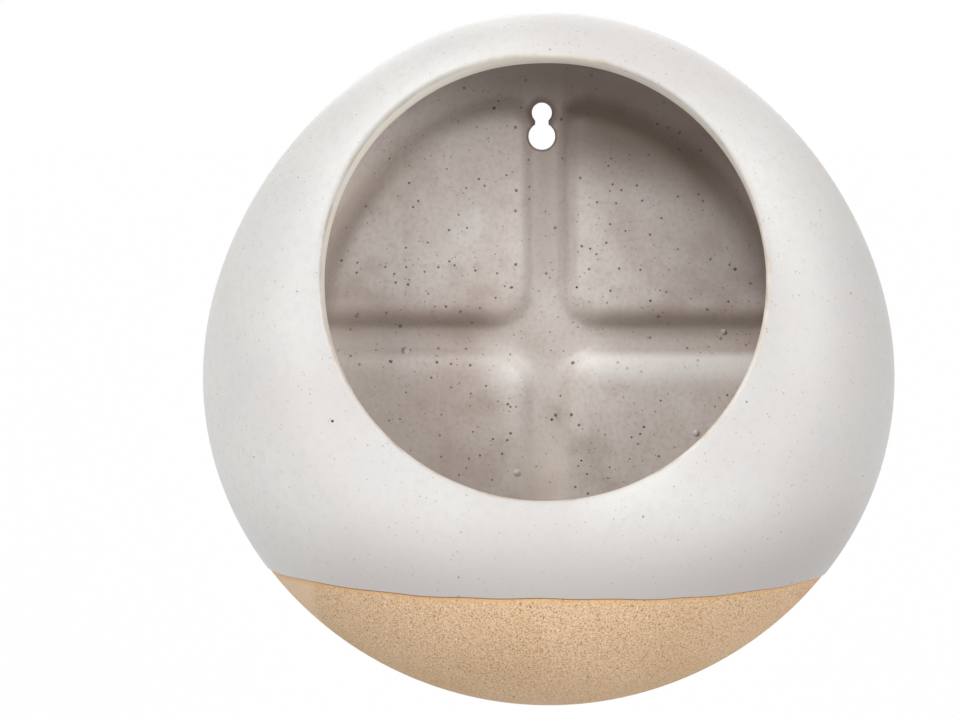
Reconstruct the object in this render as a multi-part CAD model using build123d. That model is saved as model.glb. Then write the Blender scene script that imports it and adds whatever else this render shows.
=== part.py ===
"""Hanging wall vase: a glazed stoneware vessel with a tilted round mouth and a keyhole.

Millimetres. The wall is the plane y = 0 and the vase stands out from it towards -Y, with +Z up
and +X to the right of someone who faces it. The origin is the centre of the keyhole's upper,
smaller circle, in the wall's plane, where the wall screw carries the vase. A depth is a distance
in front of the wall, along -Y.

The clay is two castings, a front dome and a back dish, joined along the widest line, where a
mould has to part. Three coats of glaze lie on them: the white one outside, the liner inside and
the glaze in the four pockets of the back.
"""
from build123d import *
import os
from math import acos, cos, pi, radians, sin, tan

# Outside of the body
body_radius = 101.05        # widest line, over the glaze
widest_depth = 23.2
back_inset = 16.4           # the outside draws in by this much from the widest line to the wall
three_lobe_share = -0.0156  # a slightly narrower foot and broader shoulders
four_lobe_share = 0.0049

# Mouth
mouth_radius = 61.05        # clear opening, over the glaze
mouth_shift = -1.0          # of the mouth's centre from the body's centre, sideways
mouth_rise = 28.9           # and upwards
mouth_depth = 52.6          # of the lip's centre line, at the mouth's centre
mouth_tilt = 12.35          # degrees, the top of the mouth leans towards the wall
side_sweep = 91.3           # degrees turned by the wall's curve between widest line and lip
sweep_change = 31.5         # degrees more at the bottom, and fewer at the top

# Walls
clay_wall = 4.5
glaze_coat = 0.4
back_clay = 5.0             # clay of the back in its channels
floor_inset = 15.0          # the inside draws in by this much from the widest line to the floor
return_sink = 0.4           # each inward curve would bottom out this far past its flat
foot_clear = 1.2            # the white coat and the pocket glaze end this far from the wall

# Pads, pressed inwards between the two channels, with a pocket behind each
cross_shift = -1.1          # of the channels' crossing from the body's centre, sideways
cross_rise = 7.1            # and upwards
upright_channel = 14.8
level_channel = 12.2
pad_arc_radius = 69.5
pad_height = 5.0
pad_inner_round = 9.0       # in plan, at the crossing
pad_outer_round = 6.0       # in plan, at the ends of the channels
pad_edge_round = 2.8
pad_foot_round = 2.0
pocket_side = 4.0           # clay between a pad's side and its pocket
pocket_round = 2.4

# Keyhole, from the body's centre
keyhole_shift = -2.1
keyhole_rise = 74.7
screw_radius = 3.0
head_radius = 4.0
head_drop = 7.0             # from the small circle's centre down to the large one's
neck_width = 4.0

# Dip line of the white glaze, from the body's centre
dip_height = -60.1          # at the wall
dip_pitch = 3.6             # degrees, rising towards the front
dip_roll = -0.7             # degrees, rising to the right

# How far a cutting solid runs past what it cuts
overrun = 1.0

# How finely the curved surfaces are laid out
contour_points = 36
return_shares = (1, 0.88, 0.75, 0.5, 0.25)
wall_shares = (0, 0.2, 0.4, 0.58, 0.74, 0.87, 0.95, 1)
lip_shares = (0.25, 0.5, 0.75, 1)
step_share = 0.0001         # of a curve, to measure which way it runs

# Values worked out from these
half_wall = clay_wall / 2 + glaze_coat
lip_ring_radius = mouth_radius + half_wall
middle_radius = body_radius - half_wall
centre_x = -keyhole_shift
centre_z = -keyhole_rise
cross_x = centre_x + cross_shift
cross_z = centre_z + cross_rise
tilt = radians(mouth_tilt)
reach = 4 * body_radius


def widest_point(angle):
    """The widest line of the wall's middle surface: a circle with two gentle waves."""
    waves = three_lobe_share * sin(3 * angle) + four_lobe_share * cos(4 * angle)
    radius = middle_radius * (1 + waves)
    return Vector(centre_x + radius * cos(angle), -widest_depth, centre_z + radius * sin(angle))


def lip_point(angle):
    """The lip's centre line: a circle that leans back towards the wall at its top."""
    x = centre_x + mouth_shift + lip_ring_radius * cos(angle)
    y = -mouth_depth + lip_ring_radius * sin(angle) * sin(tilt)
    z = centre_z + mouth_rise + lip_ring_radius * sin(angle) * cos(tilt)
    return Vector(x, y, z)


def middle_point(share, angle):
    """The wall's middle surface, from the widest line (share 0) to the lip's centre line (1).

    It follows a circular sweep, stretched so that it starts square to the wall plane at the
    widest line and ends on the lip's centre line.
    """
    sweep = radians(side_sweep - sweep_change * sin(angle))
    turned = share * sweep
    outward = (cos(turned) - cos(sweep)) / (1 - cos(sweep))
    forward = sin(turned) / sin(sweep)
    start = widest_point(angle)
    end = lip_point(angle)
    x = end.X + outward * (start.X - end.X)
    y = start.Y + forward * (end.Y - start.Y)
    z = end.Z + outward * (start.Z - end.Z)
    return Vector(x, y, z)


def middle_normal(share, angle):
    """The direction square to the middle surface, pointing out of the vase."""
    along = middle_point(share + step_share, angle) - middle_point(share - step_share, angle)
    around = middle_point(share, angle + step_share) - middle_point(share, angle - step_share)
    return around.cross(along).normalized()


def wall_point(share, angle, offset):
    """A point of a surface that runs at a steady distance from the middle surface."""
    return middle_point(share, angle) + middle_normal(share, angle) * offset


def return_point(share, angle, offset, inset, drop):
    """The inward curve behind the widest line: a quarter of an ellipse, inset wide, drop deep."""
    start = wall_point(0, angle, offset)
    arm = Vector(start.X - centre_x, 0, start.Z - centre_z)
    turned = share * pi / 2
    drawn_in = arm.normalized() * (inset * (1 - cos(turned)))
    return start - drawn_in + Vector(0, drop * sin(turned), 0)


def lip_round_point(share, angle, offset):
    """The rounded lip, from the wall's surface (share 0) to the line that faces the mouth (1)."""
    facing = middle_normal(1, angle) * (1 if offset > 0 else -1)
    inward = Vector(-cos(angle), -sin(angle) * sin(tilt), -sin(angle) * cos(tilt))
    spread = acos(facing.dot(inward))
    blend = facing * sin((1 - share) * spread) + inward * sin(share * spread)
    return lip_point(angle) + blend * (abs(offset) / sin(spread))


def contour(place):
    """A closed smooth curve through one point for each step round the body."""
    angles = [2 * pi * step / contour_points - pi / 2 for step in range(contour_points)]
    return Wire([Edge.make_spline([place(angle) for angle in angles], periodic=True)])


def hollow_form(offset, inset, drop):
    """The solid inside one surface of the wall, closed across the mouth at the lip's centre line."""
    contours = []
    for share in return_shares:
        contours.append(contour(lambda angle: return_point(share, angle, offset, inset, drop)))
    for share in wall_shares:
        contours.append(contour(lambda angle: wall_point(share, angle, offset)))
    for share in lip_shares:
        contours.append(contour(lambda angle: lip_round_point(share, angle, offset)))
    return Solid.make_loft(contours)


def front_of(depth):
    """All the space in front of a plane at this depth."""
    return Pos(0, -depth - reach / 2, 0) * Box(reach, reach, reach)


def above_dip():
    """All the space above the surface of the glaze that the vase was dipped in."""
    start = Vector(centre_x, 0, centre_z + dip_height)
    upward = Vector(-tan(radians(dip_roll)), tan(radians(dip_pitch)), 1)
    surface = Plane(origin=start, z_dir=upward)
    return surface * Pos(0, 0, reach / 2) * Box(reach, reach, reach)


def corners_outwards(outline):
    """An outline's corners, the nearest to the channels' crossing first."""
    crossing = Vector(cross_x, cross_z)
    return sorted(outline.vertices(), key=lambda corner: (Vector(corner) - crossing).length)


def pad_outline(side, level, grow):
    """A quarter of a disc, between the channels, with its corners rounded, in plan."""
    disc = Pos(cross_x, cross_z) * Circle(pad_arc_radius + grow)
    corner_x = cross_x + side * (upright_channel / 2 - grow)
    corner_z = cross_z + level * (level_channel / 2 - grow)
    quarter = Pos(corner_x + side * reach / 2, corner_z + level * reach / 2) * Rectangle(reach, reach)
    outline = disc & quarter
    outline = fillet(corners_outwards(outline)[0], pad_inner_round + grow)
    return fillet(corners_outwards(outline)[-2:], pad_outer_round + grow)


def pillow(outline, start_depth, end_depth, edge_round):
    """An upright block on an outline, with the edge round its front rounded."""
    block = extrude(Plane.XZ.offset(start_depth) * outline, amount=end_depth - start_depth)
    front = block.faces().sort_by(Axis.Y)[0]
    return fillet(front.edges(), edge_round)


def quarters():
    """The four pads' directions from the crossing: side and level."""
    return [(side, level) for side in (-1, 1) for level in (-1, 1)]


def cavity(coat):
    """The hollow inside the clay, made smaller all over by a coat: its floor carries the pads."""
    offset = -(clay_wall / 2 + coat)
    level_of_floor = back_clay + coat
    drop = widest_depth - level_of_floor + return_sink
    form = hollow_form(offset, floor_inset + glaze_coat - coat, drop) & front_of(level_of_floor)
    for side, level in quarters():
        outline = pad_outline(side, level, coat)
        top = level_of_floor + pad_height
        form = form - pillow(outline, level_of_floor - overrun, top, pad_edge_round + coat)
    floor = form.faces().sort_by(Axis.Y)[-1]
    feet = [edge for wire in floor.inner_wires() for edge in wire.edges()]
    return form.solids()[0].fillet(pad_foot_round - coat, feet)


def pockets(coat):
    """The four hollows behind the pads, made smaller all over by a coat."""
    hollows = []
    for side, level in quarters():
        outline = pad_outline(side, level, -pocket_side - coat)
        hollows.append(pillow(outline, -overrun, pad_height - coat, pocket_round - coat))
    return hollows


def keyhole():
    """The keyhole's prism: a small circle for the screw, a larger one below for its head, a neck."""
    small = Circle(screw_radius)
    large = Pos(0, -head_drop) * Circle(head_radius)
    neck = Pos(0, -head_drop / 2) * Rectangle(neck_width, head_drop)
    outline = small + large + neck
    return extrude(Plane.XZ.offset(-overrun) * outline, amount=back_clay + glaze_coat + 2 * overrun)


def outer_form(coat):
    """The solid inside the clay's outer surface, grown all over by a coat."""
    drop = widest_depth + return_sink + coat
    return hollow_form(clay_wall / 2 + coat, back_inset - glaze_coat + coat, drop)


def main():
    os.makedirs("parts", exist_ok=True)
    hole = keyhole()

    # Clay: the dome and the dish, parted at the widest line
    clay_hollow = cavity(0)
    clay_form = outer_form(0) & front_of(0)
    clay = clay_form - clay_hollow
    dome = clay & front_of(widest_depth)
    dish = clay - front_of(widest_depth) - hole
    for hollow in pockets(0):
        dish = dish - hollow

    # Coats of glaze
    glazed_hollow = cavity(glaze_coat)
    liner = clay_hollow - glazed_hollow - hole
    glazed_form = outer_form(glaze_coat) & front_of(foot_clear)
    white_coat = (glazed_form - clay_form) & above_dip()
    pocket_coats = []
    for outside, inside in zip(pockets(0), pockets(glaze_coat)):
        pocket_coats.append((outside & front_of(foot_clear)) - inside)

    pieces = {
        "front_dome": dome,
        "back_dish": dish,
        "outer_glaze": white_coat,
        "inner_glaze": liner,
        "pocket_glaze": Compound(children=pocket_coats),
    }
    for name, piece in pieces.items():
        solids = piece.solids()
        volume = sum(solid.volume for solid in solids)
        print(name, len(solids), "solid(s),", round(volume), "cubic mm")
        export_step(piece, "parts/" + name + ".step")


main()
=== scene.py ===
# %% [markdown]
# # A hanging wall vase in glazed stoneware
#
# The vase is a round, hollow body with a tilted mouth. It hangs flat on a wall by a keyhole. The
# clay, the white glaze outside, the liner glaze inside and the glaze in the pockets of the back
# are separate pieces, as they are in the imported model, and each gets its own surface here.
# Every length is in metres. The wall is the plane y = 0, the vase faces -Y and +Z is up.

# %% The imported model
import math

import bmesh
import bpy
import numpy as np
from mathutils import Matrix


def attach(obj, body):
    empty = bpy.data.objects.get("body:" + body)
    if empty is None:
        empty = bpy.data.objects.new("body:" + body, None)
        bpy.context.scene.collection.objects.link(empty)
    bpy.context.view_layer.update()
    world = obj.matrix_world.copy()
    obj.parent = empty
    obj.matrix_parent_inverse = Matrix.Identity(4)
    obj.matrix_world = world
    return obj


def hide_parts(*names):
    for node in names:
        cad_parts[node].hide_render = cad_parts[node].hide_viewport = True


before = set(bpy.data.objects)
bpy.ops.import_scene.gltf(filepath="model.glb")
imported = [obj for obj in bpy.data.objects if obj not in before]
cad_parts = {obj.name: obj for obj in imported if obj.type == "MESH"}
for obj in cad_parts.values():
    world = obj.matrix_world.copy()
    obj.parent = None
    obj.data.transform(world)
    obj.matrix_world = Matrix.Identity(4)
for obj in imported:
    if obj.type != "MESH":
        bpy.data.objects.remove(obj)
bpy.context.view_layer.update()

print("nodes:", sorted(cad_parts))

# %% [markdown]
# ## The sizes
#
# Blender doesn't resize anything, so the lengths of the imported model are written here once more.

# %% Sizes of the body, the mouth and the walls
mm = 0.001
body_radius, widest_depth, back_inset = 101.05 * mm, 23.2 * mm, 16.4 * mm
three_lobe_share, four_lobe_share = -0.0156, 0.0049
mouth_radius, mouth_shift, mouth_rise, mouth_depth = 61.05 * mm, -1.0 * mm, 28.9 * mm, 52.6 * mm
mouth_tilt = math.radians(12.35)
side_sweep, sweep_change = math.radians(91.3), math.radians(31.5)
clay_wall, glaze_coat, back_clay = 4.5 * mm, 0.4 * mm, 5.0 * mm
floor_inset, return_sink, foot_clear = 15.0 * mm, 0.4 * mm, 1.2 * mm
half_clay = clay_wall / 2
half_wall = half_clay + glaze_coat
middle_radius = body_radius - half_wall
lip_ring_radius = mouth_radius + half_wall
centre = np.array([2.1, 0, -74.7]) * mm
crossing = np.array([1.0, 0, -67.6]) * mm
print("body", round(2 * body_radius / mm, 1), "mm across, mouth", round(2 * mouth_radius / mm, 1))

# %% [markdown]
# ## The wall of the body
#
# A thrown or cast body like this is one smooth skin: a nearly round widest line near the wall,
# a leaning circle for the lip, and a curve that joins them at every angle. It could be modelled by
# hand with subdivision, but the shape is known as a formula, so whole rings of points are
# computed at once with numpy.

# %% The wall's middle surface
def stack(x, y, z):
    """Three coordinates of any shapes that fit each other, side by side."""
    return np.stack(np.broadcast_arrays(x, y, z), axis=-1)


def unit(vectors):
    """The same directions, one long."""
    return vectors / np.linalg.norm(vectors, axis=-1, keepdims=True)


def widest_line(angle):
    """A circle in the plane y = -widest_depth whose radius swells by two gentle waves."""
    waves = three_lobe_share * np.sin(3 * angle) + four_lobe_share * np.cos(4 * angle)
    radius = middle_radius * (1 + waves)
    x = centre[0] + radius * np.cos(angle)
    return stack(x, -widest_depth, centre[2] + radius * np.sin(angle))


def lip_line(angle):
    """A circle that leans back towards the wall at its top: the centre line of the rounded lip."""
    x = centre[0] + mouth_shift + lip_ring_radius * np.cos(angle)
    y = -mouth_depth + lip_ring_radius * np.sin(angle) * math.sin(mouth_tilt)
    z = centre[2] + mouth_rise + lip_ring_radius * np.sin(angle) * math.cos(mouth_tilt)
    return stack(x, y, z)


def middle(share, angle):
    """The middle surface: a circular sweep from the widest line (share 0) to the lip (share 1).

    With a = share * sweep, the way inwards goes as cos(a) and the way forwards as sin(a), both
    stretched so that they start and end on the two lines.
    """
    sweep = side_sweep - sweep_change * np.sin(angle)
    turned = share * sweep
    outward = (np.cos(turned) - np.cos(sweep)) / (1 - np.cos(sweep))
    forward = np.sin(turned) / np.sin(sweep)
    start, end = widest_line(angle), lip_line(angle)
    point = end + outward[..., None] * (start - end)
    point[..., 1] = start[..., 1] + forward * (end[..., 1] - start[..., 1])
    return point


small_step = 1e-4


def facing(share, angle):
    """The direction square to the middle surface, out of the vase, from two small differences."""
    along = middle(share + small_step, angle) - middle(share - small_step, angle)
    around = middle(share, angle + small_step) - middle(share, angle - small_step)
    return unit(np.cross(around, along))


def wall(share, angle, offset):
    """A surface at an offset from the middle one; the offset may vary from point to point."""
    return middle(share, angle) + facing(share, angle) * np.asarray(offset)[..., None]


# %% The curve behind the widest line, and the lip
def return_curve(turn, angle, offset, inset, drop):
    """A quarter of an ellipse behind the widest line, inset wide and drop deep, at turn radians."""
    start = wall(np.zeros_like(angle * turn), angle + 0 * turn, offset)
    arm = start - centre
    arm[..., 1] = 0
    point = start - unit(arm) * (inset * (1 - np.cos(turn)))[..., None]
    point[..., 1] += drop * np.sin(turn)
    return point


def lip_frame(angle):
    """The lip line's point, the wall's direction out of the vase there and the one onwards."""
    ones = np.ones_like(angle)
    onwards = unit(middle(ones + small_step, angle) - middle(ones - small_step, angle))
    return lip_line(angle), facing(ones, angle), onwards


lip_stand, lip_waves = 2.9 * mm, [(1, 0.4 * mm, 60), (2, 0.53 * mm, 36), (3, 0.23 * mm, 90)]
lip_lean, lean_side, lean_softness = 1.2 * mm, math.radians(15), 0.5 * mm


def lip_reach(angle):
    """How far the lip's face stands past the lip line, and how much further at its outer edge.

    The rim was cut by hand, so the reach swells by three cosines of the angle, each with a height
    and a phase. The outer edge stands further out on the right, by a cosine kept above zero.
    """
    reach = lip_stand + 0 * angle
    for count, swell, phase in lip_waves:
        reach = reach + swell * np.cos(count * angle - math.radians(phase))
    lean = lip_lean * np.cos(angle - lean_side)
    slant = (lean + np.sqrt(lean ** 2 + lean_softness ** 2) - lean_softness) / 2
    return reach, slant


squareness = 0.55


def lip_edge(turn, angle, coat):
    """The lip's section: outside at turn 0, the middle of its face at pi/2, inside at pi.

    The ways out and onwards go as cos and sin of the turn, each raised to squareness, which pushes
    a circle's corners out to a soft square, as on a rim that was cut and then sponged.
    """
    place, outwards, onwards = lip_frame(angle + 0 * turn)
    reach, slant = lip_reach(angle)
    side = np.sign(np.cos(turn)) * np.abs(np.cos(turn)) ** squareness
    rise = np.abs(np.sin(turn)) ** squareness
    out = (half_clay + coat) * side
    on = (reach - glaze_coat + coat + slant * side) * rise
    return place + outwards * out[..., None] + onwards * on[..., None]


# %% [markdown]
# ## From rings to a mesh
#
# Each piece is a stack of rings. A thin coat is a stack that goes up one side and comes back on
# the other, so that it closes on itself; a bowl-like piece closes in a point at each end.
# The signed volume tells whether the faces point outwards, and a negative one is turned round.

# %% Putting rings into a mesh
columns, sharp_turn = 400, math.radians(38)
same_place, no_width = 1e-7, 1e-6
angles = (np.arange(columns) * 2 * np.pi / columns - np.pi / 2)[None, :]


def rows(start, end, count):
    """A column of evenly spaced shares."""
    return np.linspace(start, end, count)[:, None]


def ring_faces(ring_count, ring_size, joined):
    """Four-cornered faces between neighbouring rings, the last ring joined to the first or not."""
    here = np.arange(ring_count if joined else ring_count - 1)[:, None]
    there = (here + 1) % ring_count
    place = np.arange(ring_size)[None, :]
    beside = (place + 1) % ring_size
    corners = [here * ring_size + place, here * ring_size + beside,
               there * ring_size + beside, there * ring_size + place]
    return np.stack(corners, axis=-1).reshape(-1, 4)


def signed_volume(points, faces):
    """The sum over the faces of corner . (corner x corner) / 6, two triangles to a face."""
    a, b, c, d = (points[faces[:, i]] for i in range(4))
    halves = np.sum(a * np.cross(b, c), axis=1) + np.sum(a * np.cross(c, d), axis=1)
    return halves.sum() / 6


def smooth(mesh):
    """Shades a mesh smooth but for its sharp edges."""
    mesh.shade_smooth()
    mesh.set_sharp_from_angle(angle=sharp_turn)


def skin(name, rings, joined=True):
    """A closed mesh through rings: joined in a loop, or with its first and last ring one point."""
    points = rings.reshape(-1, 3)
    faces = ring_faces(len(rings), rings.shape[1], joined)
    if signed_volume(points, faces) < 0:
        faces = faces[:, ::-1]
    mesh = bpy.data.meshes.new(name)
    mesh.from_pydata(points.tolist(), [], faces.tolist())
    if not joined:
        merge_poles(mesh, rings)
    mesh.validate()
    smooth(mesh)
    piece = bpy.data.objects.new(name, mesh)
    bpy.context.scene.collection.objects.link(piece)
    print(name, len(mesh.polygons), "faces,", round(abs(signed_volume(points, faces)) * 1e9), "mm3")
    return piece


def merge_poles(mesh, rings):
    """Merges the points of the first and of the last ring, which lie on one spot each."""
    work = bmesh.new()
    work.from_mesh(mesh)
    work.verts.ensure_lookup_table()
    size = rings.shape[1]
    ends = [work.verts[i] for i in range(size)] + [work.verts[i] for i in range(-size, 0)]
    bmesh.ops.remove_doubles(work, verts=ends, dist=same_place)
    work.to_mesh(mesh)
    work.free()


def tidy_cut(mesh):
    """Splits the many-sided faces along a cut into triangles and drops those without any area."""
    work = bmesh.new()
    work.from_mesh(mesh)
    many_sided = [face for face in work.faces if len(face.verts) > 4]
    bmesh.ops.triangulate(work, faces=many_sided)
    bmesh.ops.dissolve_degenerate(work, edges=work.edges[:], dist=no_width)
    work.to_mesh(mesh)
    work.free()


def cut(piece, tool):
    """Takes one closed mesh out of another and keeps the result as the piece's own mesh."""
    change = piece.modifiers.new("cut", "BOOLEAN")
    change.operation, change.solver, change.object = "DIFFERENCE", "EXACT", tool
    ready = piece.evaluated_get(bpy.context.evaluated_depsgraph_get())
    mesh = bpy.data.meshes.new_from_object(ready)
    piece.modifiers.clear()
    piece.data = mesh
    tidy_cut(mesh)
    smooth(mesh)
    bpy.data.objects.remove(tool)
    print(piece.name, "after its cut:", len(mesh.polygons), "faces")


# %% [markdown]
# ## The floor with its four pads
#
# The back is pressed inwards into four pads with a cross of channels between them. Seen as a
# height above the floor, a pad is a soft step on the signed distance from its outline, so one
# formula on mirrored coordinates makes all four.

# %% Pads as a height
upright_channel, level_channel, pad_arc_radius = 14.8 * mm, 12.2 * mm, 69.5 * mm
pad_height, pad_inner_round, pad_outer_round = 5.0 * mm, 9.0 * mm, 6.0 * mm
pad_foot, pad_roll, foot_softness = -2.7 * mm, 2.6 * mm, 1.6 * mm
upright_slowness = 0.85


def rounded_overlap(one, other, radius):
    """The distance inside two edges at once, with the corner between them rounded."""
    corner = np.hypot(np.maximum(radius - one, 0), np.maximum(radius - other, 0))
    return np.maximum(radius, np.minimum(one, other)) - corner


def pad_distance(x, z):
    """How far inside the nearest pad's outline a point of the back is; negative outside it.

    Beside the upright channel it grows more slowly, so the pads' sides slope more gently there.
    """
    across, up = np.abs(x - crossing[0]), np.abs(z - crossing[2])
    beside = upright_slowness * (across - upright_channel / 2)
    inner = rounded_overlap(beside, up - level_channel / 2, pad_inner_round)
    return rounded_overlap(inner, pad_arc_radius - np.hypot(across, up), pad_outer_round)


def soft_ramp(value, softness):
    """0 for values well below 0 and the value itself well above it, rounded between the two."""
    return (value + np.sqrt(value ** 2 + softness ** 2)) / 2


def pad_relief(x, z, coat):
    """The pads' height over the floor: 1 - exp(-way / roll) of the way in from the pad's foot.

    It is steep at the foot and rolls over into a nearly flat top, like clay pressed over a form.
    """
    way = soft_ramp(pad_distance(x, z) - pad_foot - (glaze_coat - coat), foot_softness)
    return pad_height * (1 - np.exp(-way / pad_roll))


# %% The inside of the vase as rings from the lip to the crossing
lip_rows, return_rows = 14, 20
glaze_softness, clay_softness = 1.2 * mm, 0.2 * mm


def inside_rings(coat, wall_rows, floor_rows, softness):
    """Lip, wall, return and floor: the surface that a coat on the clay's inside shows.

    In the corner the floor and the return curve are blended with a soft ramp of the height.
    """
    offset = -(half_clay + coat)
    level = back_clay + coat
    inset, drop = floor_inset + glaze_coat - coat, widest_depth - level + return_sink
    last_turn = math.asin((widest_depth - level) / drop)
    lip = lip_edge(rows(math.pi / 2, math.pi, lip_rows)[:-1] + 0 * angles, angles, coat)
    shares = rows(1, 0, wall_rows)
    side = wall(shares + 0 * angles, angles + 0 * shares, np.full((wall_rows, columns), offset))
    turns = rows(0, last_turn, return_rows)[1:] + 0 * angles
    back = return_curve(turns, angles + 0 * turns, offset, inset, drop)
    ray = (1 - rows(0, 1, floor_rows)[1:])[..., None]
    edge = back[-1]
    floor = crossing + (edge - crossing) * ray
    slope = drop * math.cos(last_turn) / (inset * math.sin(last_turn))
    way = np.linalg.norm((edge - floor)[..., [0, 2]], axis=-1)
    floor[..., 1] = -level + slope * way
    corner = np.concatenate([back, floor])
    above = -level - corner[..., 1]
    relief = pad_relief(corner[..., 0], corner[..., 2], coat)
    corner[..., 1] = -level - soft_ramp(above, softness) - relief
    return np.concatenate([lip, side, corner])


# %% [markdown]
# ## The clay
#
# The dome and the dish are two castings, joined along the widest line. Almost all of the clay is
# under glaze; what shows is the foot below the dip line, the flat ring that rests on the wall and
# the cross between the pockets. The dome is a loop of rings; the dish closes in a point on each
# side.

# %% The front dome
outer_inset, dome_rows = back_inset - glaze_coat, 48
outer_shares = rows(0, 1, dome_rows) + 0 * angles
dome_outside = wall(outer_shares, angles + 0 * outer_shares, np.full(outer_shares.shape, half_clay))
lip_clay = lip_edge(rows(0, math.pi, 2 * lip_rows - 1)[1:-1] + 0 * angles, angles, 0)
lip_outside = lip_clay[:lip_rows - 1]
inner_shares = rows(1, 0, dome_rows) + 0 * angles
dome_inside = wall(inner_shares, angles + 0 * inner_shares, np.full(inner_shares.shape, -half_clay))
dome = skin("clay_dome", np.concatenate([dome_outside, lip_clay, dome_inside]))

# %% The back dish: of the rings inside the vase, it takes those behind the widest line
clay_drop = widest_depth + return_sink
foot_turn = math.asin(widest_depth / clay_drop)
foot_rows, ring_rows, clay_wall_rows, clay_floor_rows = 24, 7, 12, 60
foot_turns = rows(foot_turn, 0, foot_rows) + 0 * angles
dish_outside = return_curve(foot_turns, angles + 0 * foot_turns, half_clay, outer_inset, clay_drop)
rest_ring = crossing + (dish_outside[0] - crossing) * rows(0, 1, ring_rows)[:-1][..., None]
inside = inside_rings(0, clay_wall_rows, clay_floor_rows, clay_softness)
dish_inside = inside[lip_rows - 1 + clay_wall_rows - 1:]
dish = skin("clay_dish", np.concatenate([rest_ring, dish_outside, dish_inside]), joined=False)

# %% [markdown]
# ## Pockets and keyhole
#
# Behind each pad the clay is hollowed, and the keyhole goes right through. Both are prisms on an
# outline of lines and arcs. The outline is worked out for one quarter and mirrored.

# %% A pocket's outline and its rings
smallest_round = 0.1 * mm
corner_points, side_points, big_arc_points = 12, 20, 40


def arc(middle_x, middle_z, radius, start, end, count):
    """Points along a circle's arc from one angle towards another, without the last one."""
    turn = np.linspace(start, end, count, endpoint=False)
    return np.stack([middle_x + radius * np.cos(turn), middle_z + radius * np.sin(turn)], axis=1)


def straight(start, end, count):
    """Points along a line, without the last one."""
    return np.linspace(start, end, count, endpoint=False)


def pad_outline(grow):
    """One quarter's outline: two straight sides, the big arc, and three rounded corners."""
    side_x, side_z = upright_channel / 2 - grow, level_channel / 2 - grow
    big, inner = pad_arc_radius + grow, pad_inner_round + grow
    outer = max(pad_outer_round + grow, smallest_round)
    end_x = math.sqrt((big - outer) ** 2 - (side_z + outer) ** 2)
    end_z = math.sqrt((big - outer) ** 2 - (side_x + outer) ** 2)
    low, high = math.atan2(side_z + outer, end_x), math.atan2(end_z, side_x + outer)
    return np.concatenate([
        arc(side_x + inner, side_z + inner, inner, math.pi, 1.5 * math.pi, corner_points),
        straight((side_x + inner, side_z), (end_x, side_z), side_points),
        arc(end_x, side_z + outer, outer, -math.pi / 2, low, corner_points),
        arc(0, 0, big, low, high, big_arc_points),
        arc(side_x + outer, end_z, outer, high, math.pi, corner_points),
        straight((side_x, end_z), (side_x, side_z + inner), side_points),
    ])


def outline_rings(outline, profile, quarter):
    """Rings on an outline: profile gives each ring's growth and depth. The ends are points."""
    rings = []
    for grow, depth in profile:
        flat = outline(grow) * quarter
        rings.append(stack(crossing[0] + flat[:, 0], -depth, crossing[2] + flat[:, 1]))
    middle_point = rings[-1].mean(axis=0)
    front, back = middle_point.copy(), middle_point.copy()
    front[1], back[1] = -profile[0][1], -profile[-1][1]
    size = len(rings[0])
    return np.stack([np.tile(front, (size, 1)), *rings, np.tile(back, (size, 1))])


# %% Cutting the pockets
pocket_side, pocket_round, arris = 4.0 * mm, 2.4 * mm, 0.7 * mm
overrun, round_steps = mm, 7
turn_steps = np.linspace(0, math.pi / 2, round_steps)
quarters = [(1, 1), (-1, 1), (-1, -1), (1, -1)]


def pocket_profile(coat):
    """Growth and depth down a pocket: its side, then the rounded edge of its floor."""
    size, floor_depth = pocket_round - coat, pad_height - coat
    grows = -pocket_side - coat - size * (1 - np.cos(turn_steps))
    depths = floor_depth - size * (1 - np.sin(turn_steps))
    return list(zip(grows, depths))


mouth_grows = -pocket_side + arris * (1 - np.sin(turn_steps))
mouth_depths = arris * (1 - np.cos(turn_steps))
flare = [(-pocket_side + arris, -overrun)] + list(zip(mouth_grows, mouth_depths))
for number, quarter in enumerate(quarters):
    tool_rings = outline_rings(pad_outline, flare + pocket_profile(0), quarter)
    cut(dish, skin("pocket_tool_" + str(number), tool_rings, joined=False))

# %% The keyhole
screw_radius, head_radius, head_drop, neck_width = 3.0 * mm, 4.0 * mm, 7.0 * mm, 4.0 * mm
small_points, large_points, neck_points = 56, 72, 8


def keyhole_outline(grow):
    """A small circle above a larger one with a neck between them, about the small one's centre."""
    small, large, half_neck = screw_radius + grow, head_radius + grow, neck_width / 2 + grow
    small_end, large_end = math.asin(half_neck / small), math.asin(half_neck / large)
    top, low = -small * math.cos(small_end), -head_drop + large * math.cos(large_end)
    right, left = small_end - math.pi / 2, 1.5 * math.pi - small_end
    low_left, low_right = math.pi / 2 + large_end, 2.5 * math.pi - large_end
    return np.concatenate([
        arc(0, 0, small, right, left, small_points),
        straight((-half_neck, top), (-half_neck, low), neck_points),
        arc(0, -head_drop, large, low_left, low_right, large_points),
        straight((half_neck, low), (half_neck, top), neck_points),
    ])


def keyhole_rings(profile):
    """The keyhole's rings; its outline is about the origin, so the crossing is taken off again."""
    rings = outline_rings(keyhole_outline, profile, (1, 1))
    return rings - crossing * np.array([1, 0, 1])


rim_width, past_glaze, in_clay = 0.5 * mm, 8 * mm, 2 * mm
hole_rings = keyhole_rings([(rim_width, past_glaze), (rim_width, -overrun)])
cut(dish, skin("keyhole_tool", hole_rings, joined=False))

# %% [markdown]
# ## The white glaze
#
# The vase was held by its foot and dipped, so the white coat ends along the level of the glaze in
# the tub, a nearly flat line with a slight wave. The coat is a thin closed skin over the outside
# and half of the lip; a block with that wavy top takes away what was above the tub's level.
# The coat is uneven by a tenth of a millimetre, always towards the clay, so it never outgrows the
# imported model.

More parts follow.
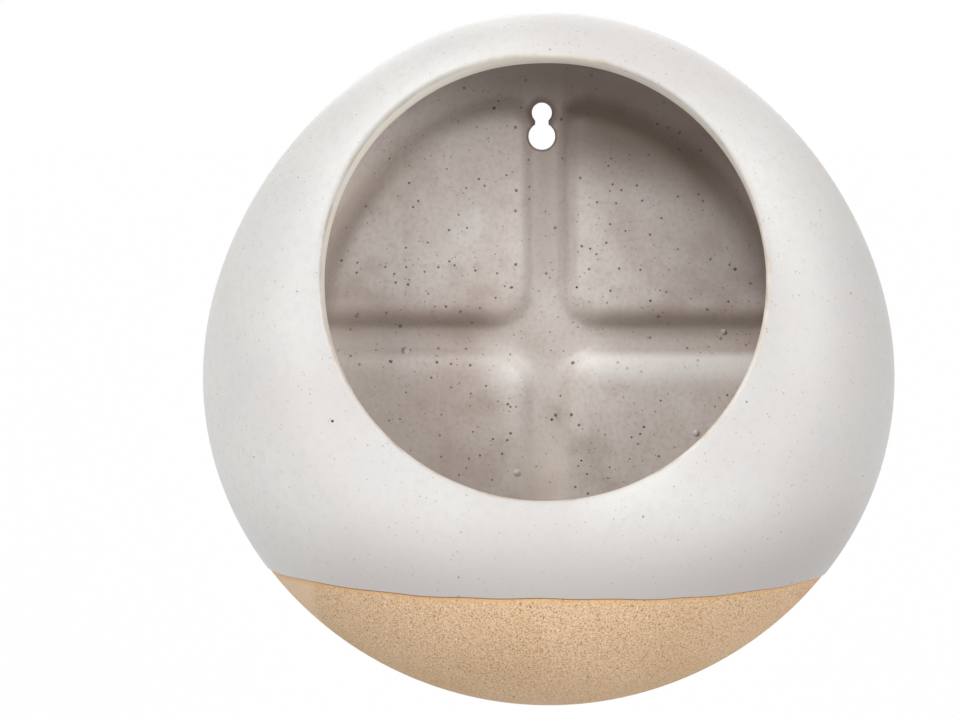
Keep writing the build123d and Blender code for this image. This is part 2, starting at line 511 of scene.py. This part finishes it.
# %% The coat over the outside
dip_height, dip_pitch, dip_roll = -60.1 * mm, math.radians(3.6), math.radians(-0.7)
slow_wave, slow_count, slow_start = 0.22 * mm, 95.0, 1.2
quick_wave, quick_count, quick_slant = 0.12 * mm, 310.0, 60.0


def dip_line(x, y):
    """The dip's height: a plane, higher at the front and at the left, and two small waves."""
    plane = centre[2] + dip_height - np.tan(dip_pitch) * y + np.tan(dip_roll) * (x - centre[0])
    slow = slow_wave * np.sin(slow_count * x + slow_start)
    return plane + slow + quick_wave * np.sin(quick_count * x + quick_slant * y)


def unevenness(share, angle):
    """A slow ripple from 0 to 1 that closes round the body."""
    wave = np.sin(3 * angle + 4 * share) + np.sin(5 * angle - 7 * share + 1) + np.sin(9 * share + 2)
    return 0.5 + wave / 6


coat_rows, coat_thinning, coat_clearance = 76, 0.12 * mm, 0.01 * mm
back_rows, under_rows = 30, 20
coat_drop = clay_drop + glaze_coat
coat_turn = math.asin((widest_depth - foot_clear) / coat_drop)
under_turn = math.asin((widest_depth - foot_clear) / clay_drop)
coat_turns = rows(coat_turn, 0, back_rows)[:-1] + 0 * angles
coat_face = half_wall - coat_clearance
coat_back = return_curve(coat_turns, angles + 0 * coat_turns, coat_face, back_inset, coat_drop)
coat_shares = rows(0, 1, coat_rows) + 0 * angles
thinning = coat_thinning * unevenness(coat_shares, angles) * np.sin(np.pi * coat_shares) ** 0.5
coat_front = wall(coat_shares, angles + 0 * coat_shares, coat_face - thinning)
coat_lip = lip_edge(rows(0, math.pi / 2, lip_rows)[1:] + 0 * angles, angles, glaze_coat)
under_front = wall(inner_shares, angles + 0 * inner_shares, np.full(inner_shares.shape, half_clay))
under_turns = rows(0, under_turn, under_rows)[1:] + 0 * angles
under_back = return_curve(under_turns, angles + 0 * under_turns, half_clay, outer_inset, clay_drop)
coat_rings = [coat_back, coat_front, coat_lip, lip_outside[::-1], under_front[1:], under_back]
white_coat = skin("white_coat", np.concatenate(coat_rings))


# %% The tub's level takes the coat off the foot
def level_block():
    """A block with a wavy top at the dip line, as rings round its middle."""
    reach_x, front_y, back_y, bottom_z = 130 * mm, -100 * mm, 20 * mm, -250 * mm
    steps_x, steps_y = 240, 24
    x = np.linspace(-reach_x, reach_x, steps_x)
    y = np.linspace(front_y, back_y, steps_y)
    top_x, top_y = np.meshgrid(x, y, indexing="ij")
    top = stack(top_x, top_y, dip_line(top_x, top_y))
    low = stack(top_x[:, ::-1], top_y[:, ::-1], bottom_z)
    loops = np.concatenate([top, low], axis=1)
    ends = [np.tile(loops[i].mean(axis=0), (loops.shape[1], 1))[None] for i in (0, -1)]
    return np.concatenate([ends[0], loops, ends[1]])


cut(white_coat, skin("level_block", level_block(), joined=False))

# %% [markdown]
# ## The liner
#
# The inside is one coat as well: from the middle of the lip down the wall, round the corner, over
# the floor and its pads. It goes there and back again in one stack, from the crossing over the
# lip's edge to the crossing on the underside.

# %% The liner's rings, and its cut for the keyhole
liner_wall_rows, liner_floor_rows, under_wall_rows = 32, 78, 10
liner_top = inside_rings(glaze_coat, liner_wall_rows, liner_floor_rows, glaze_softness)
liner_under = inside_rings(0, under_wall_rows, clay_floor_rows, clay_softness)
liner = skin("liner", np.concatenate([liner_top[::-1], liner_under]), joined=False)
liner_hole_rings = keyhole_rings([(rim_width, past_glaze), (rim_width, in_clay)])
cut(liner, skin("liner_tool", liner_hole_rings, joined=False))


# %% The keyhole's rim: glaze rolled over the edge, and the bore down to the wall
rim_overlap, rim_proud = 0.08 * mm, 0.03 * mm
bore_end, bore_slope, wall_gap, rim_back = 0.4 * mm, 0.25 * mm, 0.05 * mm, 4.5 * mm


def rim_rings():
    """A closed profile carried along the keyhole: round edge, bore, and back outside the bore."""
    rings = []
    for turn in turn_steps:
        flat = keyhole_outline((rim_width + rim_overlap) * (1 - math.sin(turn)))
        drop = rim_width * (1 - math.cos(turn))
        floor = back_clay + glaze_coat + rim_proud + pad_relief(flat[:, 0], flat[:, 1], glaze_coat)
        rings.append(stack(flat[:, 0], -(floor - drop), flat[:, 1]))
    for grow, depth in [(0, bore_end), (bore_slope, wall_gap), (rim_width, wall_gap)]:
        flat = keyhole_outline(grow)
        rings.append(stack(flat[:, 0], -depth, flat[:, 1]))
    flat = keyhole_outline(rim_width + rim_overlap)
    rings.append(stack(flat[:, 0], -rim_back, flat[:, 1]))
    return np.stack(rings)


rim = skin("keyhole_rim", rim_rings())

# %% The glaze in the four pockets
pocket_coats = []
for number, quarter in enumerate(quarters):
    shown = [(-pocket_side - glaze_coat, foot_clear)] + pocket_profile(glaze_coat)
    under = [(-pocket_side, foot_clear)] + pocket_profile(0)
    shown_rings = outline_rings(pad_outline, shown, quarter)[1:]
    under_rings = outline_rings(pad_outline, under, quarter)[1:]
    both = np.concatenate([shown_rings[::-1], under_rings])
    pocket_coats.append(skin("pocket_coat_" + str(number), both, joined=False))

# %% [markdown]
# ## Shader maths
#
# Patterns are sums and products of noise. A small class lets Python's own signs build the Math
# nodes, and one method makes every other node.

# %% The class for sockets
class Wire:
    """A shader socket that can be added, subtracted, multiplied, divided and raised."""

    def __init__(self, tree, socket):
        self.tree, self.socket = tree, socket

    def node(self, kind, settings=(), inputs=(), out=0):
        """Adds a node: its settings, then its sockets by name or place. Gives one output."""
        made = self.tree.nodes.new("ShaderNode" + kind)
        for name, value in dict(settings).items():
            setattr(made, name, value)
        live = [socket for socket in made.inputs if socket.enabled]
        for name, value in dict(inputs).items():
            socket = live[name] if isinstance(name, int) else [s for s in live if s.name == name][0]
            if isinstance(value, Wire):
                self.tree.links.new(value.socket, socket)
            else:
                socket.default_value = value
        shown = [socket for socket in made.outputs if socket.enabled]
        if not shown:
            return None
        picked = shown[out] if isinstance(out, int) else [s for s in shown if s.name == out][0]
        return Wire(self.tree, picked)

    def math(self, operation, first, second):
        """One Math node on two values or sockets."""
        return self.node("Math", {"operation": operation}, {0: first, 1: second})

    def __add__(self, other):
        return self.math("ADD", self, other)

    def __sub__(self, other):
        return self.math("SUBTRACT", self, other)

    def __rsub__(self, other):
        return self.math("SUBTRACT", other, self)

    def __mul__(self, other):
        return self.math("MULTIPLY", self, other)

    def __truediv__(self, other):
        return self.math("DIVIDE", self, other)

    def __pow__(self, other):
        return self.math("POWER", self, other)

    __radd__, __rmul__ = __add__, __mul__


# %% Patterns that the finishes share
def new_finish(name):
    """An empty material and the Object coordinates that its patterns read."""
    material = bpy.data.materials.new(name)
    material.use_nodes = True
    material.node_tree.nodes.clear()
    start = Wire(material.node_tree, None)
    return material, start.node("TexCoord", out="Object")


def coordinates(place):
    """The place's x, y and z."""
    return [place.node("SeparateXYZ", {}, {"Vector": place}, name) for name in "XYZ"]


def noise(place, scale, detail=2.0, rough=0.5):
    """Cloudy noise round 0.5; scale is in waves to the metre."""
    sockets = {"Vector": place, "Scale": scale, "Detail": detail, "Roughness": rough}
    return place.node("TexNoise", {}, sockets)


def ease(value, low, high, first=0.0, second=1.0):
    """A smooth step from first, below low, to second, above high."""
    sockets = {"Value": value, 1: low, 2: high, 3: first, 4: second}
    return value.node("MapRange", {"interpolation_type": "SMOOTHSTEP"}, sockets)


def band(value, start, full, fading, end):
    """0 at start, 1 from full to fading, and 0 again at end."""
    return ease(value, start, full) * ease(value, end, fading)


def sine(value):
    """The sine of a value in radians."""
    return value.node("Math", {"operation": "SINE"}, {0: value})


def size_of(value):
    """The value without its sign."""
    return value.node("Math", {"operation": "ABSOLUTE"}, {0: value})


def span(beside, above):
    """The distance of a place from a spot that lies so far beside and above it."""
    return (beside * beside + above * above) ** 0.5


dot_core, smallest_share, narrow = 0.55, 0.35, 0.02


def specks(place, scale, size, rarity):
    """Round dots of uneven size: one in each Voronoi cell whose random number passes rarity."""
    sockets = {"Vector": place, "Scale": scale}
    away = place.node("TexVoronoi", {}, sockets, "Distance")
    tint = place.node("TexVoronoi", {}, sockets, "Color")
    chance = tint.node("SeparateColor", {}, {0: tint}, 0)
    swell = tint.node("SeparateColor", {}, {0: tint}, 1)
    radius = size * (smallest_share + swell * (1 - smallest_share))
    return ease(away / radius, 1.0, dot_core) * ease(chance, rarity, rarity + narrow)


def spots(x, z, middles, core=dot_core):
    """Single round spots, each given as its place across and up and its radius, in millimetres.

    Each is full over the core share of its radius and fades from there outwards.
    """
    total = 0.0
    for across, up, radius in middles:
        away = span(x - across * mm, z - up * mm)
        total = ease(away, radius * mm, core * radius * mm) + total
    return total


def blend(one, other, share):
    """A colour between two others."""
    sockets = {"Factor": share, "A": one, "B": other}
    return share.node("Mix", {"data_type": "RGBA"}, sockets)


def colour(red, green, blue):
    """A colour given as it would be written for a screen, 0 to 255, made linear."""
    parts = np.array([red, green, blue]) / 255
    linear = np.where(parts <= 0.04045, parts / 12.92, ((parts + 0.055) / 1.055) ** 2.4)
    return (*(float(value) for value in linear), 1)


def finish_with(material, place, base, rough, height, fixed):
    """Ends a material in a Principled shader with a bump from a height in metres."""
    bump = place.node("Bump", {}, {"Strength": 1.0, "Distance": 1.0, "Height": height})
    sockets = {"Base Color": base, "Roughness": rough, "Normal": bump, **fixed}
    shader = place.node("BsdfPrincipled", {}, sockets)
    place.node("OutputMaterial", {}, {"Surface": shader})
    return material


# %% [markdown]
# ## The lip's colours
#
# A glaze runs thin over an edge as it melts, so the lip shows a beige face between a broken brown
# line outside and a pale line inside. A ring painted in world space would slip off a lip that
# leans and waves. Instead each point of the mesh carries its turn round the lip's section as an
# attribute, and both glazes read their colours from it.

# %% The lip's colour, shared by both glazes
def lip_turn(place):
    """The turn round the lip's section, ruffled a little so that its bands wander."""
    turn = place.node("Attribute", {"attribute_name": "lip_turn"}, {}, "Fac")
    ruffle = 0.35
    return turn + (noise(place, 130.0, 3.0) - 0.5) * ruffle


def lip_colours(place, base):
    """A thin beige face between a patchy brown break outside and a pale edge inside."""
    turn = lip_turn(place)
    beige, brown, pale = colour(238, 232, 220), colour(184, 158, 132), colour(232, 227, 217)
    face = band(turn, 0.35, 0.95, 2.35, 2.75)
    crest = band(turn, 0.30, 0.62, 0.72, 1.10)
    worn = noise(place, 95.0, 4.0, 0.6)
    base = blend(base, beige, face * 0.9)
    base = blend(base, brown, crest * ease(worn, 0.42, 0.68, 0.08, 0.55))
    edge = band(turn, 2.0, 2.3, 2.5, 2.75)
    return blend(base, pale, edge * 0.3)


# %% [markdown]
# ## The white glaze's finish
#
# The vase was dipped upside down into a satin white glaze. Low on the front and down the right side
# the white is greyer, which is painted shade. Iron specks from the clay melt through it in three
# sizes. Separate modelled specks would weigh far more, so they are cells of a pattern.

# %% White glaze
front_dots = [(-57.0, -83.6, 0.5)]
satin_gloss, matt_gloss = {"Specular IOR Level": 0.5}, {"Specular IOR Level": 0.35}


def white_glaze():
    """Satin off-white, with painted shade low on the front and down the right side."""
    material, place = new_finish("white_glaze")
    slow = noise(place, 16.0)
    base = blend(colour(212, 211, 208), colour(205, 201, 198), ease(slow, 0.40, 0.68))
    cool = noise(place, 40.0, 3.0)
    base = blend(base, colour(203, 203, 206), ease(cool, 0.5, 0.75) * 0.5)
    mottle = noise(place, 420.0, 3.0, 0.6)
    base = blend(base, colour(198, 193, 189), ease(mottle, 0.42, 0.72) * 0.35)
    x, y, z = coordinates(place)
    # Painted shade: the white is greyer low on the front, below the mouth.
    low, rightwards = ease(z, -100 * mm, -130 * mm), ease(x, -110 * mm, -20 * mm)
    painted_low_shade = low * rightwards * ease(y, -20 * mm, -45 * mm)
    base = blend(base, colour(180, 174, 171), painted_low_shade)
    # Painted shade: the white is greyer down the right side.
    painted_right_shade = ease(x, 20 * mm, 85 * mm) * ease(z, -5 * mm, -50 * mm)
    base = blend(base, colour(182, 177, 175), painted_right_shade * 0.4)
    fine = specks(place, 620.0, 0.19, 0.15)
    middling = specks(place, 240.0, 0.11, 0.45)
    large = specks(place, 52.0, 0.025, 0.45)
    base = blend(base, colour(150, 134, 122), fine * 0.6)
    base = blend(base, colour(112, 94, 80), middling * 0.65)
    base = blend(base, colour(44, 36, 31), large * 0.95)
    on_front = ease(y, -50 * mm, -60 * mm)
    base = blend(base, colour(34, 28, 25), spots(x, z, front_dots) * on_front)
    base = lip_colours(place, base)
    rough = 0.34 + slow * 0.14
    height = noise(place, 140.0, 3.0) * (0.05 * mm) - (fine + middling) * (0.02 * mm)
    return finish_with(material, place, base, rough, height, satin_gloss)


# %% [markdown]
# ## The liner's finish
#
# The liner is browner round the upper right and on the pads' edges, which is painted shade, and
# lighter in the low half, beside the pads and on the lower pads' top edges, which is painted light.
# Clouds, mottling and three sizes of specks are noise; the few large black dots and the blisters
# have places of their own on the back.

# %% Painted shade and painted light on the liner
def liner_layers(place, base, across, up, y):
    """Browner where painted shade falls and lighter where painted light falls, by place on the
    back.
    """
    from_crossing = span(across, up)
    on_back = ease(y, -17 * mm, -12 * mm)
    # The brown here is used for painted shade and the near white for painted highlights.
    brown, painted_highlight_white = colour(122, 103, 91), colour(252, 252, 250)

    # Painted shadow in brown: round the upper right, on the crown of its pad and on the left pad's
    # arc
    upper_right = ease(up + across * 0.6, 20 * mm, 84 * mm)
    painted_upper_shadow = ease(from_crossing, 60 * mm, 80 * mm, 0.22, 1.0) * upper_right
    base = blend(base, brown, painted_upper_shadow * 0.85)
    # Painted shade: browner on the top of the upper right pad, under the rim's shadow.
    painted_crown_shade = ease(across, 1 * mm, 10 * mm) * ease(up + across * 0.25, 46 * mm, 66 * mm) * on_back
    base = blend(base, brown, painted_crown_shade * ease(from_crossing, 73 * mm, 68 * mm) * 0.8)
    # Painted shade: a brown band along the upper left pad's outer arc.
    painted_arc_shade = band(from_crossing, 62.5 * mm, 67 * mm, 69 * mm, 72 * mm)
    painted_arc_shade = painted_arc_shade * ease(across, -30 * mm, -56 * mm) * ease(up, 4 * mm, 14 * mm) * on_back
    base = blend(base, brown, painted_arc_shade * 0.45)

    # Painted shade, darker: the far right, the upper pads' lower edges, the upper right pad's left
    # slope; the upper channel and the lower left are darker too
    painted_far_right_shade = ease(across, 30 * mm, 60 * mm) * ease(up, 2 * mm, 20 * mm)
    base = blend(base, colour(140, 124, 114), painted_far_right_shade * 0.35)
    # Painted shade: the upper pads' lower edges, which face down.
    beside = ease(size_of(across), 6 * mm, 22 * mm)
    painted_edge_shade = band(up, 1.8 * mm, 4.8 * mm, 6 * mm, 12 * mm) * beside
    base = blend(base, colour(136, 116, 103), painted_edge_shade * 0.6)
    arms = band(from_crossing, 8 * mm, 24 * mm, 62 * mm, 70 * mm)
    channel = ease(y, -9.5 * mm, -6.5 * mm) * arms
    base = blend(base, colour(160, 146, 136), channel * ease(up, -16 * mm, -4 * mm) * 0.42)
    # Painted shade: the upper right pad's left slope, which faces away from the light.
    painted_slope_shade = band(across, 4.5 * mm, 6.5 * mm, 8.5 * mm, 11 * mm)
    base = blend(base, colour(128, 110, 98), painted_slope_shade * ease(up, 8 * mm, 22 * mm) * 0.3)
    low_left = ease(across, -8 * mm, -22 * mm) * ease(up, -4 * mm, -12 * mm)
    base = blend(base, colour(150, 126, 108), low_left * 0.22)

    # Painted light, paler: the low side, the moat beside the pads, the low channel; painted
    # highlights on the lower pads
    painted_low_light = ease(from_crossing, 40 * mm, 75 * mm) * ease(across * 0.6 + up, 0, -55 * mm)
    base = blend(base, colour(240, 233, 226), painted_low_light * 0.6)
    # Painted light: paler on the walls beside the pads, more on the left, which faces the light.
    painted_wall_light = ease(from_crossing, 67 * mm, 71 * mm) * ease(size_of(across), 38 * mm, 52 * mm)
    painted_wall_light = painted_wall_light * ease(across, -40 * mm, 40 * mm, 0.55, 0.28) * on_back
    base = blend(base, colour(240, 229, 219), painted_wall_light * ease(up, 62 * mm, 40 * mm))
    # Painted light: paler in the low channel near the lip.
    painted_channel_light = ease(size_of(across), 9 * mm, 5 * mm) * ease(up, -26 * mm, -42 * mm)
    base = blend(base, colour(244, 234, 224), painted_channel_light * 0.55)
    # Painted highlight: a sheen along the lower pads' top edges.
    painted_sheen = band(up, -3.5 * mm, -6.5 * mm, -9 * mm, -16 * mm) * on_back
    base = blend(base, painted_highlight_white, painted_sheen * ease(across, 7 * mm, 15 * mm) * 0.5)
    # Painted highlight: a soft spot at the lower left pad's inner corner.
    from_sheen_spot = span(across + 11 * mm, up + 9.5 * mm)
    return blend(base, painted_highlight_white, ease(from_sheen_spot, 11 * mm, 1 * mm) * 0.3)


# %% Single marks on the back, as millimetres across, up and in radius
black_dots = [(-43, -64, 0.75), (10.5, -52, 0.45), (58, -46.5, 0.65),
              (3, -93, 0.5), (12, -105, 0.4), (-58, -73, 0.5),
              (-46, -74.5, 0.5), (-21, -96, 0.35), (25, -35, 0.35)]
blisters = [(-7.5, -109, 1.4), (47, -96.5, 1.2), (55.5, -66, 1.1), (-41.5, -71.5, 1.3)]


# %% Liner glaze
def liner_glaze():
    """Satin grey-mauve with clouds, streaks and specks, browner round the keyhole."""
    material, place = new_finish("liner_glaze")
    x, y, z = coordinates(place)
    slow = noise(place, 24.0)
    base = blend(colour(221, 213, 207), colour(211, 200, 193), ease(slow, 0.38, 0.68))
    upright = place.node("Mapping", {}, {"Vector": place, "Scale": (1.0, 1.0, 0.22)})
    base = blend(base, colour(186, 173, 165), ease(noise(upright, 90.0, 3.0), 0.52, 0.80) * 0.5)
    cloud = noise(place, 60.0, 4.0, 0.55)
    base = blend(base, colour(184, 170, 161), ease(cloud, 0.46, 0.76) * 0.7)
    base = blend(base, colour(228, 223, 219), ease(cloud, 0.44, 0.26) * 0.5)
    mottle = noise(place, 700.0, 4.0, 0.65)
    base = blend(base, colour(150, 132, 120), ease(mottle, 0.38, 0.80) * 0.28)
    fine = specks(place, 520.0, 0.21, 0.35)
    middling = specks(place, 330.0, 0.22, 0.30)
    large = specks(place, 150.0, 0.12, 0.35)
    base = blend(base, colour(112, 90, 76), fine * 0.6)
    base = blend(base, colour(78, 58, 47), middling * 0.85)
    base = blend(base, colour(50, 38, 32), large * 0.9)
    floor = ease(y, -16 * mm, -14 * mm)
    base = blend(base, colour(30, 24, 21), spots(x, z, black_dots) * floor)
    base = liner_layers(place, base, x - float(crossing[0]), z - float(crossing[2]), y)
    from_screw = span(x, z) + (noise(place, 260.0, 3.0) - 0.5) * (3 * mm)
    base = blend(base, colour(108, 88, 75), ease(from_screw, 5.8 * mm, 3.4 * mm) * 0.75)
    from_hole = span(x, z + head_drop)
    base = blend(base, colour(138, 108, 84), ease(from_hole, 4.9 * mm, 4.3 * mm) * 0.6)
    base = lip_colours(place, base)
    rough = 0.30 + slow * 0.14
    bubbled = spots(x, z, blisters, 0.2) * floor
    height = noise(place, 110.0, 3.0) * (0.08 * mm) - (fine + middling) * (0.03 * mm)
    height = height + bubbled * (0.6 * mm)
    return finish_with(material, place, base, rough, height, satin_gloss)


# %% [markdown]
# ## The bare clay's finish
#
# Fired stoneware without glaze is matt and sandy, with pale and dark grains under a millimetre.
# Two fine noises make the grains and two cell patterns the specks. The clay is warmer just below
# the dip line, with a thin brown line along the glaze's edge, and smoother where a hand held it.

# %% Bare stoneware
def bare_stoneware():
    """Sandy speckled clay, smooth where it was held and warmer along the dip line."""
    material, place = new_finish("bare_stoneware")
    slow = noise(place, 20.0)
    base = blend(colour(217, 186, 151), colour(208, 176, 140), ease(slow, 0.38, 0.68))
    x, y, z = coordinates(place)
    ragged = x + noise(place, 45.0, 3.0) * (12 * mm)
    held = ease(ragged, -54 * mm, -60 * mm) * ease(z, -118 * mm, -128 * mm)
    sandy = 1 - held * 0.75
    grain = ease(noise(place, 2400.0, 1.0, 0.5), 0.46, 0.66)
    pale = ease(noise(place, 1700.0, 1.0, 0.5), 0.46, 0.28)
    dark = specks(place, 1300.0, 0.42, 0.10)
    rare = specks(place, 420.0, 0.19, 0.35)
    base = blend(base, colour(225, 199, 170), held * 0.6)
    base = blend(base, colour(172, 137, 102), grain * sandy * 0.8)
    base = blend(base, colour(238, 214, 182), pale * sandy * 0.5)
    base = blend(base, colour(138, 104, 72), dark * sandy * 0.7)
    base = blend(base, colour(96, 69, 50), rare * sandy * 0.7)
    slow_sway = sine(x * slow_count + slow_start) * slow_wave
    sway = slow_sway + sine(x * quick_count + y * quick_slant) * quick_wave
    plane = y * -math.tan(dip_pitch) + (x - float(centre[0])) * math.tan(dip_roll)
    below = plane + float(centre[2] + dip_height) + sway - z
    shown = ease(below, -0.9 * mm, -0.3 * mm) * ease(y, -1.2 * mm, -2.4 * mm)
    warm, glaze_edge = ease(below, 2.2 * mm, 0.4 * mm), ease(below, 0.45 * mm, 0.15 * mm)
    base = blend(base, colour(224, 172, 110), warm * shown * 0.5)
    base = blend(base, colour(124, 88, 58), glaze_edge * shown * 0.75)
    rough = 0.72 + slow * 0.15
    height = noise(place, 1200.0, 4.0, 0.7) * (0.08 * mm) - dark * (0.03 * mm)
    return finish_with(material, place, base, rough, height, matt_gloss)


# %% Where the glaze is near the lip
lip_range = 5 * mm


def mark_lip(piece, far_turn):
    """Stores each point's turn round the lip's section, in radians, as the attribute lip_turn.

    The turn grows from 0 outside to pi inside; points well away from the lip get far_turn.
    """
    mesh = piece.data
    flat = np.empty(3 * len(mesh.vertices))
    mesh.vertices.foreach_get("co", flat)
    points = flat.reshape(-1, 3)
    arm = points - (centre + np.array([mouth_shift, -mouth_depth, mouth_rise]))
    up = arm[:, 1] * math.sin(mouth_tilt) + arm[:, 2] * math.cos(mouth_tilt)
    angle = np.arctan2(up, arm[:, 0])
    place, outwards, onwards = lip_frame(angle)
    away = points - place
    out = np.sum(away * outwards, axis=1) / half_wall
    on = np.sum(away * onwards, axis=1) / lip_reach(angle)[0]
    turn = np.arctan2(on, out)
    turn[turn < -math.pi / 2] = math.pi
    turn[np.linalg.norm(away, axis=1) > lip_range] = far_turn
    mesh.attributes.new("lip_turn", "FLOAT", "POINT").data.foreach_set("value", turn)
    print(piece.name, "lip_turn from", round(turn.min(), 2), "to", round(turn.max(), 2))


mark_lip(white_coat, 0)
mark_lip(liner, math.pi)
mark_lip(rim, math.pi)

# %% Pieces take their finishes and their places in the frame
satin, grey, clay = white_glaze(), liner_glaze(), bare_stoneware()
pieces = [(dome, clay, "bare_stoneware", "front_dome"),
          (dish, clay, "bare_stoneware", "back_dish"),
          (white_coat, satin, "white_glaze", "outer_glaze"),
          (liner, grey, "liner_glaze", "inner_glaze"),
          (rim, grey, "liner_glaze", "inner_glaze")]
pieces += [(coat, satin, "white_glaze", "pocket_glaze") for coat in pocket_coats]
for piece, finish, slot, node in pieces:
    piece.data.materials.clear()
    piece.data.materials.append(finish)
    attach(piece, "root")
    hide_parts(node)
print(len(pieces), "pieces")

# %% [markdown]
# ## Floor, light and camera
#
# The background of a catalogue picture is white paper. The floor is a wide pale sheet below the
# vase, and both it and the world show the camera a white of strength 1, while the light on the vase
# stays at a plain level: three wide, soft lamps in front, two to the left and one to the right, a
# weaker one behind, and a little light from all round.

# %% Which rays see the white paper
def seen_rays(start):
    """1 for rays from the camera and for those that a mirror or a glass sends on, else 0."""
    kinds = ("Is Camera Ray", "Is Glossy Ray", "Is Transmission Ray")
    camera_ray, mirrored, through = [start.node("LightPath", {}, {}, kind) for kind in kinds]
    return camera_ray + mirrored + through


# %% The floor
floor_size, floor_level, white_share = 60, -0.32, 0.95
floor_grey, floor_white, white = (0.80, 0.80, 0.80, 1), (0.97, 0.97, 0.97, 1), (1, 1, 1, 1)
bpy.ops.mesh.primitive_plane_add(size=floor_size, location=(0, 0, floor_level))
floor_sheet = bpy.context.object
floor_sheet.name = "floor"
paper = bpy.data.materials.new("paper")
paper.use_nodes = True
paper.node_tree.nodes.clear()
paper_start = Wire(paper.node_tree, None)
shown = seen_rays(paper_start)
pale = blend(floor_grey, floor_white, shown)
sheet = paper_start.node("BsdfDiffuse", {}, {"Color": pale})
glow = paper_start.node("Emission", {}, {"Color": white, "Strength": 1.0})
surface = paper_start.node("MixShader", {}, {0: shown * white_share, 1: sheet, 2: glow})
paper_start.node("OutputMaterial", {}, {"Surface": surface})
floor_sheet.data.materials.append(paper)

# %% The world
world = bpy.data.worlds.new("studio")
bpy.context.scene.world = world
world.use_nodes = True
world.node_tree.nodes.clear()
light_around = 0.12
air = Wire(world.node_tree, None)
strength = light_around + seen_rays(air) * (1 - light_around)
white_air = air.node("Background", {}, {"Color": white, "Strength": strength})
air.node("OutputWorld", {}, {"Surface": white_air})


# %% The lamps
def lamp(name, azimuth, elevation, energy, softness):
    """A far lamp, softness degrees wide; azimuth 0 is in front of the vase and 90 to its right."""
    light = bpy.data.lights.new(name, "SUN")
    light.energy, light.angle = energy, math.radians(softness)
    stand = bpy.data.objects.new(name, light)
    stand.rotation_euler = (math.radians(90 - elevation), 0, math.radians(azimuth))
    bpy.context.scene.collection.objects.link(stand)


lamp("right", azimuth=48, elevation=20, energy=1.60, softness=40)
lamp("left", azimuth=-42, elevation=50, energy=1.90, softness=40)
lamp("low_left", azimuth=-36, elevation=14, energy=0.60, softness=40)
lamp("behind", azimuth=180, elevation=35, energy=0.80, softness=60)

# %% The camera
camera = bpy.data.objects.new("camera", bpy.data.cameras.new("camera"))
bpy.context.scene.collection.objects.link(camera)
bpy.context.scene.camera = camera
looking_down, distance = math.radians(8.09), 512.6 * mm
target = centre + np.array([0, -30, 0]) * mm
camera.location = target + distance * np.array([0, -math.cos(looking_down), math.sin(looking_down)])
camera.rotation_euler = (math.pi / 2 - looking_down, 0, 0)
camera.data.lens, camera.data.sensor_width = 65.99, 36
camera.data.shift_x, camera.data.shift_y = -0.0717, 0.0120
camera.data.clip_start, camera.data.clip_end = 10 * mm, 200
bpy.context.scene.view_settings.view_transform = "Standard"

# %% The scene is brought up to date
bpy.context.view_layer.update()
